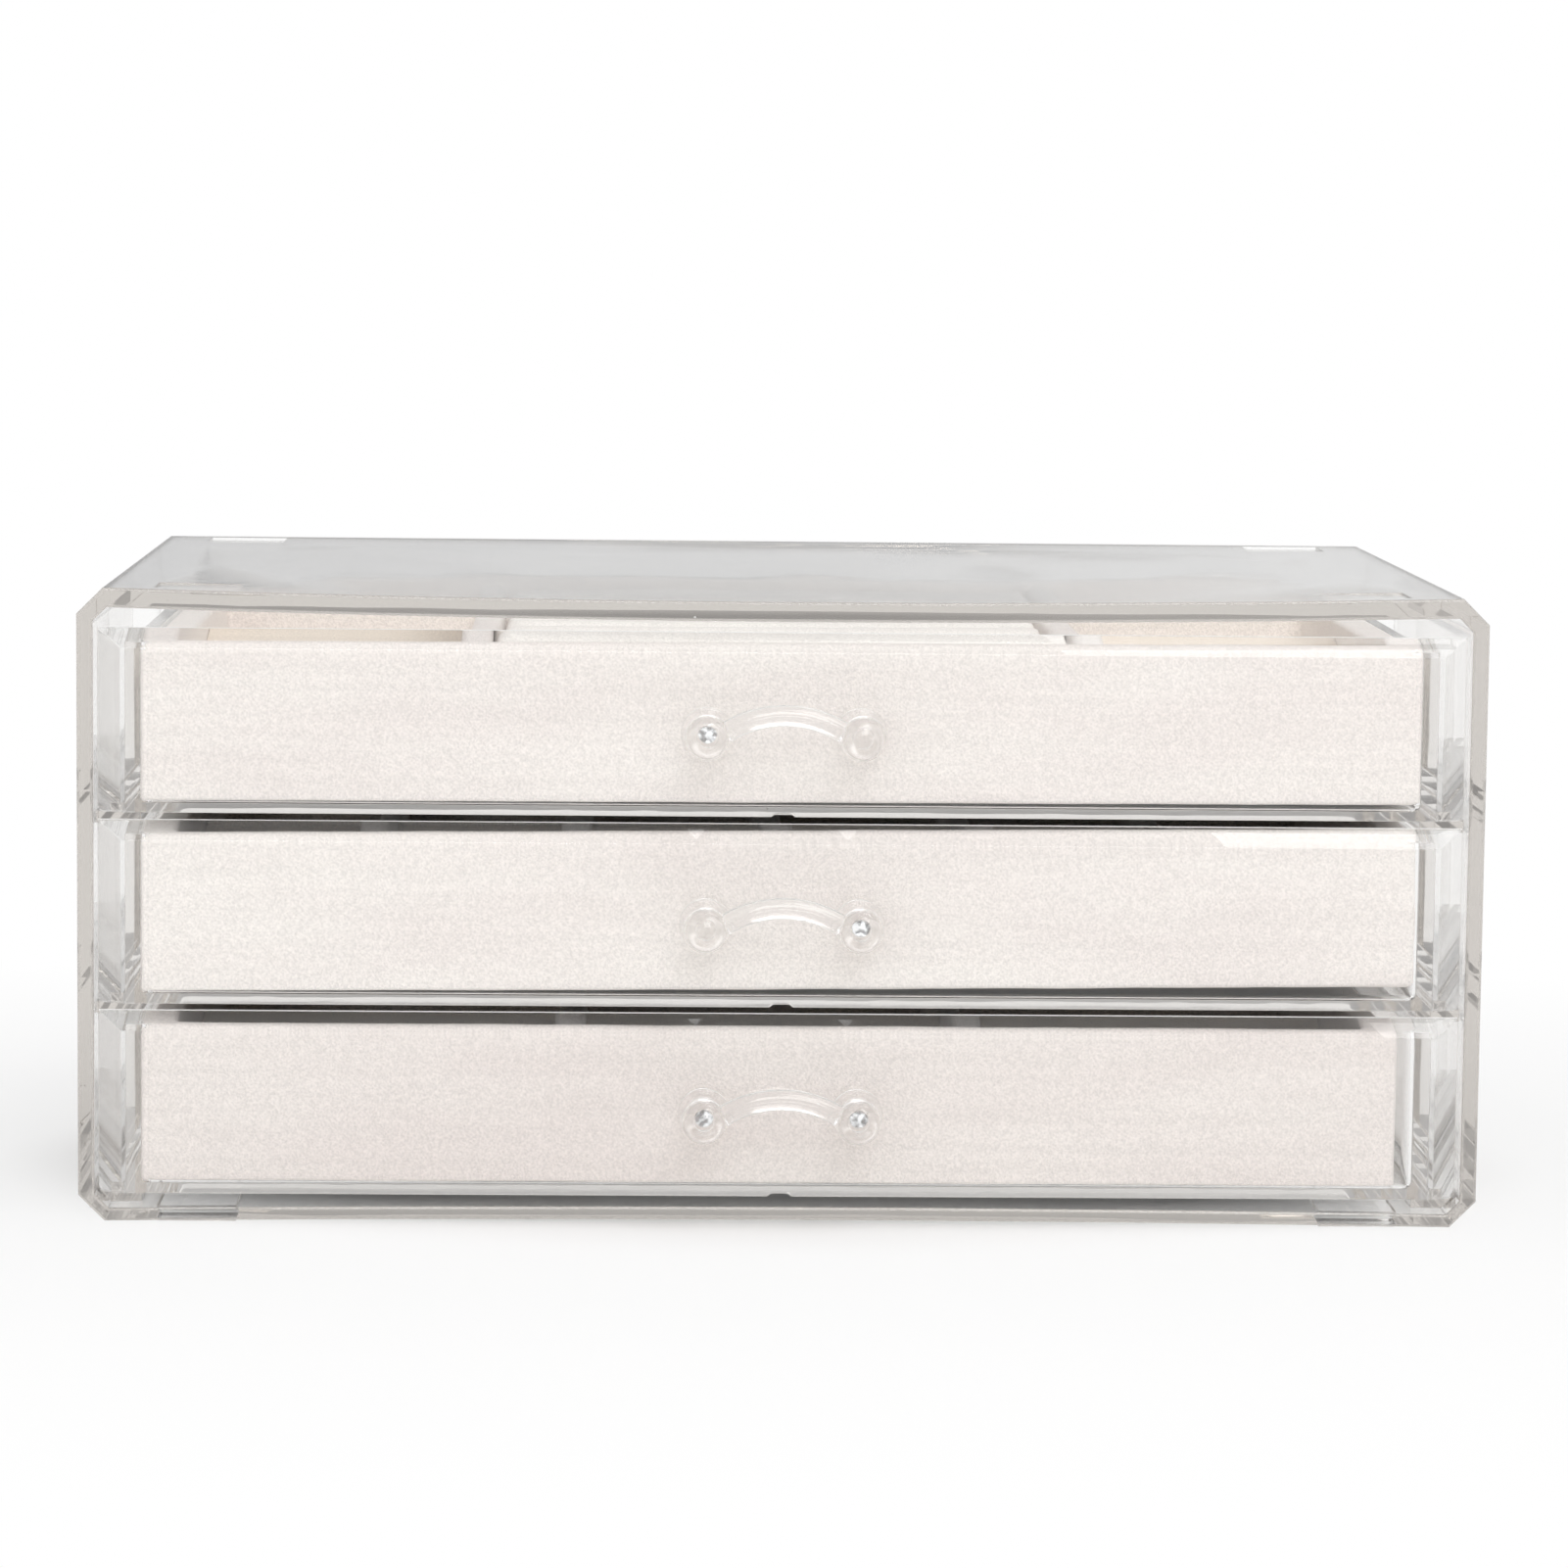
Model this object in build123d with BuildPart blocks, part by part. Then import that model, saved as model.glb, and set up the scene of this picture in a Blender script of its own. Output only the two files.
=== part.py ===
# A clear jewellery organiser: a moulded case with three drawers, each holding a velvet tray.
# Millimetres. X runs right, Y runs back, Z runs up, and the drawers open towards -Y.
# The origin is the middle of the footprint, handles included, on the surface it stands on.
import os

from build123d import *

# Case
case_width = 235.0
case_depth = 135.0
case_height = 106.3
side_wall = 2.7
top_wall = 3.3
floor_wall = 2.2
back_wall = 2.4
corner_cut = 4.4
bay_cut = 2.3
top_bow = 1.5  # the open front draws in by this at the middle of its top edge
floor_bow = 0.7  # and by this at the middle of its bottom edge
rim_round = 0.4
cut_overrun = 1.0  # every cut runs this far past the face it opens

# Feet, and the pockets on top that take the feet of a second organiser
foot_width = 13.4
foot_depth = 11.6
foot_height = 0.7
foot_side_inset = 12.9
foot_end_inset = 4.0
foot_edge = 0.3
pocket_play = 0.3
pocket_depth = 0.5

# Drawers
drawer_names = ("bottom", "middle", "top")
front_recess = 2.5
front_thickness = 3.2
side_gap = 0.35
front_gap = 1.45
floor_gap = 1.4
top_gap = 2.15
rear_gap = 1.5
bevel_depth = 2.0
top_bevel = 3.2
side_bevel = 4.0
front_corner_round = 1.0
side_overhang = 4.55
side_drop = 3.0
drawer_wall = 2.4
drawer_floor = 1.25
rear_corner_round = 3.0
cavity_corner_round = 2.2
cavity_floor_round = 1.2
gate_width = 4.0
gate_taper = 0.7
gate_depth = 0.5

# Runners inside the case
runner_gap = 0.2
runner_thickness = 2.0
runner_grip = 2.5
guide_gap = 0.4
guide_height = 1.6
guide_thickness = 1.6
stop_gap = 0.5

# Handles
ball_spacing = 25.8
ball_radius = 3.78
ball_standoff = 8.0
handle_drop = 1.3  # balls sit this far below the middle of the drawer front
base_radius = 4.35
base_thickness = 1.1
base_round = 0.4
neck_radius = 3.0
ball_turn = -90.0  # degrees; the seam of each ball faces the front, clear of the bar
bar_radius = 1.75
bar_rise = 3.75  # the middle of the bar is this far above the balls
bar_dip = 1.6  # and its ends run into them this far below
peg_radius = 1.1
peg_length = 6.4
peg_clearance = 0.05
peg_end_gap = 1.4
glue_gap = 0.05

# Velvet trays
tray_clearance = 0.5
tray_slack = {"bottom": 3.0, "middle": 0.4, "top": 0.1}  # each tray is this much short on the right
tray_drop = 3.3
tray_wall = 5.5
tray_front_wall = 2.2
tray_corner_round = 1.6
tray_inner_round = 1.2
tray_edge_round = 1.0
tray_foot_round = 0.8
board_thickness = 3.0
board_clearance = 0.3
divider_thickness = 5.0
divider_drop = 1.0  # top tray: dividers end this far below the frame
low_divider_drop = 7.0  # middle and bottom trays: their dividers stay well below it
divider_round = 1.6
divider_clearance = 0.2
lap_clearance = 0.15

# Top tray: a box at each side and ring rolls between them
side_box_width = 47.3
roll_count = 8
roll_gap = 0.5
roll_drop = 0.8
roll_end_round = 1.5

# Middle and bottom trays
middle_columns = 6
bottom_columns = 3

# Positions that follow from the sizes above
handle_reach = ball_standoff + glue_gap + ball_radius - front_recess
case_front = handle_reach - (case_depth + handle_reach) / 2
case_back = case_front + case_depth
bay_back = case_back - back_wall
case_bottom = foot_height
case_top = case_bottom + case_height
bay_floor = case_bottom + floor_wall
bay_top = case_top - top_wall
bay_half_width = case_width / 2 - side_wall

drawer_count = len(drawer_names)
lowest_drawer = bay_floor + floor_bow + floor_gap
front_stack = bay_top - top_bow - top_gap - lowest_drawer
front_height = (front_stack - front_gap * (drawer_count - 1)) / drawer_count
drawer_pitch = front_height + front_gap
drawer_base = {name: lowest_drawer + drawer_pitch * index for index, name in enumerate(drawer_names)}
front_width = 2 * (bay_half_width - side_gap)
front_face = case_front + front_recess
front_rear = front_face + front_thickness
body_width = front_width - 2 * side_overhang
body_height = front_height - side_drop
body_rear = bay_back - rear_gap
cavity_width = body_width - 2 * drawer_wall
cavity_rear = body_rear - drawer_wall
cavity_depth = cavity_rear - front_rear

tray_depth = cavity_depth - 2 * tray_clearance
tray_front = front_rear + tray_clearance
tray_middle = tray_front + tray_depth / 2
tray_height = front_height - drawer_floor - tray_drop
box_front = tray_front + tray_front_wall
box_depth = tray_depth - tray_front_wall - tray_wall
box_middle = box_front + box_depth / 2
divider_height = tray_height - board_thickness - divider_drop
low_divider_height = tray_height - board_thickness - low_divider_drop


def upright(y, z=0.0):
    # A plane that faces the front at depth y, with its own zero at height z
    return Plane(origin=(0, y, z), x_dir=(1, 0, 0), z_dir=(0, -1, 0))


def sideways(x):
    # A plane that faces right at x; it draws in Y and Z
    return Plane(origin=(x, 0, 0), x_dir=(0, 1, 0), z_dir=(1, 0, 0))


def level(x, y, z):
    # A plane that faces up, with its own zero at the given point
    return Plane(origin=(x, y, z))


def shell_section(y, half_width, bottom, top, cut, bowed):
    # Cut-corner outline of the case at depth y; where bowed, its long edges draw in at mid width
    flat = half_width - cut
    with BuildSketch(upright(y)) as section:
        with BuildLine():
            if bowed:
                ThreePointArc((-flat, bottom), (0, bottom + floor_bow), (flat, bottom))
            else:
                Line((-flat, bottom), (flat, bottom))
            Line((flat, bottom), (half_width, bottom + cut))
            Line((half_width, bottom + cut), (half_width, top - cut))
            Line((half_width, top - cut), (flat, top))
            if bowed:
                ThreePointArc((flat, top), (0, top - top_bow), (-flat, top))
            else:
                Line((flat, top), (-flat, top))
            Line((-flat, top), (-half_width, top - cut))
            Line((-half_width, top - cut), (-half_width, bottom + cut))
            Line((-half_width, bottom + cut), (-flat, bottom))
        make_face()
    return section.sketch


def make_case():
    foot_x = case_width / 2 - foot_side_inset - foot_width / 2
    foot_ys = (case_front + foot_end_inset + foot_depth / 2, case_back - foot_end_inset - foot_depth / 2)
    foot_spots = [(side * foot_x, y) for side in (-1, 1) for y in foot_ys]
    outer_front = shell_section(case_front, case_width / 2, case_bottom, case_top, corner_cut, True)
    outer_back = shell_section(case_back, case_width / 2, case_bottom, case_top, corner_cut, False)
    inner_front = shell_section(case_front, bay_half_width, bay_floor, bay_top, bay_cut, True)
    inner_back = shell_section(bay_back, bay_half_width, bay_floor, bay_top, bay_cut, False)
    with BuildPart() as case:
        loft([outer_front, outer_back], ruled=True)
        loft([inner_front, inner_back], ruled=True, mode=Mode.SUBTRACT)
        fillet(case.faces().sort_by(Axis.Y)[0].edges(), radius=rim_round)
        # A ledge under each drawer edge, with a guide standing on it beside the drawer
        for base in drawer_base.values():
            ledge_top = base - runner_gap
            ledge_bottom = ledge_top - runner_thickness
            if base == lowest_drawer:
                ledge_bottom = bay_floor - floor_wall / 2
            ledge_x = body_width / 2 - runner_grip
            guide_x = body_width / 2 + guide_gap
            guide_outer_x = guide_x + guide_thickness
            guide_top = ledge_top + guide_height
            wall_x = bay_half_width + side_wall / 2
            for side in (-1, 1):
                with BuildSketch(upright(bay_back + back_wall / 2)):
                    with BuildLine():
                        Polyline(
                            (side * wall_x, ledge_bottom),
                            (side * ledge_x, ledge_bottom),
                            (side * ledge_x, ledge_top),
                            (side * guide_x, ledge_top),
                            (side * guide_x, guide_top),
                            (side * guide_outer_x, guide_top),
                            (side * guide_outer_x, ledge_top),
                            (side * wall_x, ledge_top),
                            close=True,
                        )
                    make_face()
                extrude(amount=bay_back + back_wall / 2 - front_rear - stop_gap)
        with BuildSketch(Plane.XY):
            with Locations(*foot_spots):
                Rectangle(foot_width, foot_depth)
        extrude(amount=foot_height + floor_wall / 2)
        chamfer(case.faces().group_by(Axis.Z)[0].edges(), length=foot_edge)
        with BuildSketch(Plane.XY.offset(case_top - pocket_depth)):
            with Locations(*foot_spots):
                Rectangle(foot_width + 2 * pocket_play, foot_depth + 2 * pocket_play)
        extrude(amount=pocket_depth + cut_overrun, mode=Mode.SUBTRACT)
    return case.part


def make_drawer(name):
    base = drawer_base[name]
    top = base + front_height
    half_front = front_width / 2
    peg_height = base + front_height / 2 - handle_drop
    with BuildPart() as drawer:
        body_depth = body_rear - front_rear
        with BuildSketch(level(0, front_rear + body_depth / 2, base)) as body_outline:
            Rectangle(body_width, body_depth)
            fillet(body_outline.vertices().group_by(Axis.Y)[-1], radius=rear_corner_round)
        extrude(amount=body_height)
        with BuildSketch(upright(front_rear, base)) as front_outline:
            Rectangle(front_width, front_height, align=(Align.CENTER, Align.MIN))
            fillet(front_outline.vertices().group_by(Axis.Y)[0], radius=front_corner_round)
        extrude(amount=front_thickness)
        with BuildSketch(level(0, front_rear + cavity_depth / 2, base + drawer_floor)):
            RectangleRounded(cavity_width, cavity_depth, cavity_corner_round)
        extrude(amount=body_height, mode=Mode.SUBTRACT)
        fillet(drawer.faces().filter_by(Axis.Z).group_by(Axis.Z)[1].edges(), radius=cavity_floor_round)
        # Bevels along the top and both ends of the front
        with BuildSketch(sideways(0)):
            with BuildLine():
                Polyline(
                    (front_face - bevel_depth, top - 2 * top_bevel),
                    (front_face + 2 * bevel_depth, top + top_bevel),
                    (front_face - bevel_depth, top + top_bevel),
                    close=True,
                )
            make_face()
        extrude(amount=front_width, both=True, mode=Mode.SUBTRACT)
        for side in (-1, 1):
            with BuildSketch(Plane.XY.offset(base)):
                with BuildLine():
                    Polyline(
                        (side * (half_front - 2 * side_bevel), front_face - bevel_depth),
                        (side * (half_front + side_bevel), front_face + 2 * bevel_depth),
                        (side * (half_front + side_bevel), front_face - bevel_depth),
                        close=True,
                    )
                make_face()
            extrude(amount=front_height, mode=Mode.SUBTRACT)
        # Pegs that the handle is glued on
        with BuildSketch(upright(front_face, peg_height)):
            with GridLocations(ball_spacing, 0, 2, 1):
                Circle(peg_radius)
        extrude(amount=peg_length)
        # Moulding gate scar under the front
        with BuildSketch(upright(front_rear, base)):
            with BuildLine():
                Polyline(
                    (-gate_width / 2, -cut_overrun),
                    (gate_width / 2, -cut_overrun),
                    (gate_width / 2, 0),
                    (gate_width / 2 - gate_taper, gate_depth),
                    (gate_taper - gate_width / 2, gate_depth),
                    (-gate_width / 2, 0),
                    close=True,
                )
            make_face()
        extrude(amount=front_thickness, mode=Mode.SUBTRACT)
    return drawer.part


def make_handle(name):
    height = drawer_base[name] + front_height / 2 - handle_drop
    seat = front_face - glue_gap
    ball_y = seat - ball_standoff
    with BuildPart() as handle:
        with BuildSketch(upright(seat, height)):
            with GridLocations(ball_spacing, 0, 2, 1):
                Circle(base_radius)
        extrude(amount=base_thickness)
        fillet(handle.faces().sort_by(Axis.Y)[:2].edges(), radius=base_round)
        with BuildSketch(upright(seat - base_thickness, height)):
            with GridLocations(ball_spacing, 0, 2, 1):
                Circle(neck_radius)
        extrude(amount=ball_standoff - base_thickness)
        with Locations((-ball_spacing / 2, ball_y, height), (ball_spacing / 2, ball_y, height)):
            Sphere(ball_radius, rotation=(0, 0, ball_turn))
        with BuildLine(upright(ball_y, height)) as bar_path:
            ThreePointArc((-ball_spacing / 2, -bar_dip), (0, bar_rise), (ball_spacing / 2, -bar_dip))
        with BuildSketch(Plane(origin=bar_path.line @ 0, z_dir=bar_path.line % 0)):
            Circle(bar_radius)
        sweep(path=bar_path.line)
        with BuildSketch(upright(seat, height)):
            with GridLocations(ball_spacing, 0, 2, 1):
                Circle(peg_radius + peg_clearance)
        extrude(amount=peg_length - glue_gap + peg_end_gap, mode=Mode.SUBTRACT)
    return handle.part


def tray_size(name):
    # Width and middle of a tray: it lies against the left wall of its drawer
    width = cavity_width - 2 * tray_clearance - tray_slack[name]
    return width, -tray_slack[name] / 2


def make_tray_frame(name):
    width, middle = tray_size(name)
    base = drawer_base[name] + drawer_floor
    with BuildPart() as frame:
        with BuildSketch(level(middle, tray_middle, base)):
            RectangleRounded(width, tray_depth, tray_corner_round)
        extrude(amount=tray_height)
        with BuildSketch(level(middle, box_middle, base)):
            RectangleRounded(width - 2 * tray_wall, box_depth, tray_inner_round)
        extrude(amount=tray_height, mode=Mode.SUBTRACT)
        fillet(frame.faces().sort_by(Axis.Z)[-1].edges(), radius=tray_edge_round)
        fillet(frame.faces().sort_by(Axis.Z)[0].outer_wire().edges(), radius=tray_foot_round)
    return frame.part


def make_tray_floor(name):
    width, middle = tray_size(name)
    base = drawer_base[name] + drawer_floor
    board_width = width - 2 * (tray_wall + board_clearance)
    board_depth = box_depth - 2 * board_clearance
    with BuildPart() as board:
        with BuildSketch(level(middle, box_middle, base)):
            RectangleRounded(board_width, board_depth, tray_inner_round)
        extrude(amount=board_thickness)
    return board.part


def make_divider(x, length_x, length_y, base, height):
    # A wrapped board that stands on the tray floor with its top edge rounded over
    with BuildPart() as divider:
        with BuildSketch(level(x, box_middle, base)):
            Rectangle(length_x, length_y)
        extrude(amount=height)
        long_axis = Axis.X if length_x > length_y else Axis.Y
        fillet(divider.edges().filter_by(long_axis).group_by(Axis.Z)[-1], radius=divider_round)
    return divider.part


def cut_laps(divider, spots, size_x, size_y, bottom):
    # Half-lap slots where the dividers of the middle tray cross
    with BuildPart() as lapped:
        add(divider)
        with BuildSketch(Plane.XY.offset(bottom)):
            with Locations(*spots):
                Rectangle(size_x, size_y)
        extrude(amount=low_divider_height / 2 + lap_clearance + cut_overrun, mode=Mode.SUBTRACT)
    return lapped.part


def make_top_fittings():
    width, middle = tray_size("top")
    base = drawer_base["top"] + drawer_floor + board_thickness
    divider_x = width / 2 - tray_wall - side_box_width - divider_thickness / 2
    divider_length = box_depth - 2 * divider_clearance
    fittings = {}
    for side, side_name in ((-1, "left"), (1, "right")):
        fittings[f"top_tray_{side_name}_divider"] = make_divider(
            middle + side * divider_x, divider_thickness, divider_length, base, divider_height
        )
    roll_thickness = (box_depth - roll_gap * (roll_count + 1)) / roll_count
    roll_length = 2 * divider_x - divider_thickness - 2 * roll_gap
    roll_shoulder = base + tray_height - board_thickness - roll_drop - roll_thickness / 2
    for index in range(roll_count):
        front = box_front + roll_gap + index * (roll_thickness + roll_gap)
        rear = front + roll_thickness
        with BuildPart() as roll:
            with BuildSketch(sideways(middle - roll_length / 2)):
                with BuildLine():
                    Polyline((front, roll_shoulder), (front, base), (rear, base), (rear, roll_shoulder))
                    crown = ((front + rear) / 2, roll_shoulder + roll_thickness / 2)
                    ThreePointArc((front, roll_shoulder), crown, (rear, roll_shoulder))
                make_face()
            extrude(amount=roll_length)
            end_edges = roll.faces().filter_by(Axis.X).edges()
            rim_edges = end_edges.filter_by_position(Axis.Z, base, crown[1], (False, True))
            fillet(rim_edges, radius=roll_end_round)
        fittings[f"top_tray_ring_roll_{index + 1}"] = roll.part
    return fittings


def make_middle_fittings():
    width, middle = tray_size("middle")
    base = drawer_base["middle"] + drawer_floor + board_thickness
    inner = width - 2 * tray_wall
    cell = (inner - divider_thickness * (middle_columns - 1)) / middle_columns
    pitch = cell + divider_thickness
    first = middle - inner / 2 + cell + divider_thickness / 2
    crossings = [first + pitch * index for index in range(middle_columns - 1)]
    slot = divider_thickness + 2 * lap_clearance
    long_length = inner - 2 * divider_clearance
    long_divider = make_divider(middle, long_length, divider_thickness, base, low_divider_height)
    spots = [(x, box_middle) for x in crossings]
    slot_floor = base + low_divider_height / 2 - lap_clearance
    fittings = {}
    fittings["middle_tray_long_divider"] = cut_laps(long_divider, spots, slot, slot, slot_floor)
    cross_length = box_depth - 2 * divider_clearance
    for index, x in enumerate(crossings):
        cross = make_divider(x, divider_thickness, cross_length, base, low_divider_height)
        lapped = cut_laps(cross, [(x, box_middle)], slot, slot, base - cut_overrun)
        fittings[f"middle_tray_cross_divider_{index + 1}"] = lapped
    return fittings


def make_bottom_fittings():
    width, middle = tray_size("bottom")
    base = drawer_base["bottom"] + drawer_floor + board_thickness
    inner = width - 2 * tray_wall
    cell = (inner - divider_thickness * (bottom_columns - 1)) / bottom_columns
    pitch = cell + divider_thickness
    fittings = {}
    for index in range(bottom_columns - 1):
        x = middle - inner / 2 + pitch * (index + 1) - divider_thickness / 2
        fittings[f"bottom_tray_divider_{index + 1}"] = make_divider(
            x, divider_thickness, box_depth - 2 * divider_clearance, base, low_divider_height
        )
    return fittings


pieces = {"case": make_case()}
for drawer_name in drawer_names:
    pieces[f"{drawer_name}_drawer"] = make_drawer(drawer_name)
    pieces[f"{drawer_name}_handle"] = make_handle(drawer_name)
    pieces[f"{drawer_name}_tray_frame"] = make_tray_frame(drawer_name)
    pieces[f"{drawer_name}_tray_floor"] = make_tray_floor(drawer_name)
pieces.update(make_top_fittings())
pieces.update(make_middle_fittings())
pieces.update(make_bottom_fittings())

os.makedirs("parts", exist_ok=True)
for piece_name, piece in pieces.items():
    piece.label = piece_name
    export_step(piece, f"parts/{piece_name}.step")
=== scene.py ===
import math

import bmesh
import bpy
from mathutils import Matrix, Quaternion, Vector, noise


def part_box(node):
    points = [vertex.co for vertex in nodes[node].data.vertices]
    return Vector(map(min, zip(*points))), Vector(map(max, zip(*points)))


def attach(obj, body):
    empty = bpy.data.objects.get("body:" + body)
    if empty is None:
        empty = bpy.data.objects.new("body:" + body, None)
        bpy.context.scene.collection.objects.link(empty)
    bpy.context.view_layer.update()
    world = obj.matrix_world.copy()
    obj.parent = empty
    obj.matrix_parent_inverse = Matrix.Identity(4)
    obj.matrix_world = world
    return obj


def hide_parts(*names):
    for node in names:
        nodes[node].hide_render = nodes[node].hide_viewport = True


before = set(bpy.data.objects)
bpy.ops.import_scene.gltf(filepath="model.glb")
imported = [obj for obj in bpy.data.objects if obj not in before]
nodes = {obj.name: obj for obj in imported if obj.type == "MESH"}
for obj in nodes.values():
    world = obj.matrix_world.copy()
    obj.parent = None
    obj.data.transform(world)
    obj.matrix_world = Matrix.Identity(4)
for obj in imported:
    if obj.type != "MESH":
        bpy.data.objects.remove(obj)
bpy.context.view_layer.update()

drawerNames = ("top", "middle", "bottom")
print("frame loaded,", len(nodes), "solids")


# small helpers for shader nodes
def newMaterial(name):
    material = bpy.data.materials.new(name)
    material.use_nodes = True
    material.node_tree.nodes.clear()
    return material, material.node_tree


def addNode(tree, kind, **sockets):
    node = tree.nodes.new(kind)
    for key, value in sockets.items():
        node.inputs[key.replace("_", " ")].default_value = value
    return node


def wire(tree, source, output, target, socket):
    tree.links.new(source.outputs[output], target.inputs[socket])


def addNoise(tree, coords, output, scale, detail, rough=0.5):
    node = addNode(tree, "ShaderNodeTexNoise", Scale=scale, Detail=detail, Roughness=rough)
    wire(tree, coords, output, node, "Vector")
    return node


def addRange(tree, source, output, low, high, toLow, toHigh):
    node = tree.nodes.new("ShaderNodeMapRange")
    for key, value in zip(("From Min", "From Max", "To Min", "To Max"), (low, high, toLow, toHigh)):
        node.inputs[key].default_value = value
    wire(tree, source, output, node, "Value")
    return node


def addMath(tree, kind, first, second, clamp=False):
    node = tree.nodes.new("ShaderNodeMath")
    node.operation = kind
    node.use_clamp = clamp
    for index, value in enumerate((first, second)):
        if isinstance(value, (int, float)):
            node.inputs[index].default_value = value
        else:
            tree.links.new(value, node.inputs[index])
    return node


def addMeasure(tree, source, output):
    node = tree.nodes.new("ShaderNodeVectorMath")
    node.operation = "LENGTH"
    wire(tree, source, output, node, 0)
    return node


def addRamp(tree, source, output, stops):
    node = tree.nodes.new("ShaderNodeValToRGB")
    while len(node.color_ramp.elements) < len(stops):
        node.color_ramp.elements.new(0.5)
    for element, (place, colour) in zip(node.color_ramp.elements, stops):
        element.position = place
        element.color = (*colour, 1)
    wire(tree, source, output, node, "Fac")
    return node


def mixShaders(tree, share, first, second):
    node = tree.nodes.new("ShaderNodeMixShader")
    tree.links.new(share.outputs[0], node.inputs["Fac"])
    tree.links.new(first.outputs[0], node.inputs[1])
    tree.links.new(second.outputs[0], node.inputs[2])
    return node


def addSeen(tree):
    # one for rays that the viewer sees, zero for rays that only carry light
    path = tree.nodes.new("ShaderNodeLightPath")
    seen = addMath(tree, "MAXIMUM", path.outputs["Is Camera Ray"], path.outputs["Is Glossy Ray"])
    return addMath(tree, "MAXIMUM", seen.outputs[0], path.outputs["Is Transmission Ray"])


# clear moulded acrylic: faint waviness, specks of dust, and straight light for lamps
acrylic = {
    "tint": (0.992, 0.992, 0.990, 1),
    "refraction": 1.49,
    "absorb": (0.73, 0.70, 0.665, 1),
    "absorbDensity": 6.0,
    "lampTint": (0.975, 0.975, 0.972, 1),
    "waveScale": 45.0,
    "waveStrength": 0.006,
    "waveHeight": 0.002,
    "edgeRound": 0.0003,
    "edgeSamples": 4,
    "hazeScale": 120.0,
    "hazeFrom": 0.45,
    "hazeTo": 0.8,
    "hazeMost": 0.02,
    "speckScale": 210.0,
    "speckInner": 0.03,
    "speckOuter": 0.05,
    "speckPick": 0.78,
    "speckShare": 0.5,
    "speckColour": (0.95, 0.95, 0.94, 1),
    "coreRadius": 0.0011,
    "coreSolid": 0.9,
    "coreShare": 1.7,
    "coreScale": 1500.0,
    "coreDark": (0.40, (0.16, 0.17, 0.185)),
    "corePale": (0.60, (0.96, 0.97, 0.98)),
    "coreRough": 0.3,
    "coreBump": 0.8,
    "coreBumpHeight": 0.0003,
    "landShare": 0.95,
    "landDepth": 0.0002,
    "landLevel": 0.95,
    "landColour": (0.95, 0.95, 0.95, 1),
}


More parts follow.
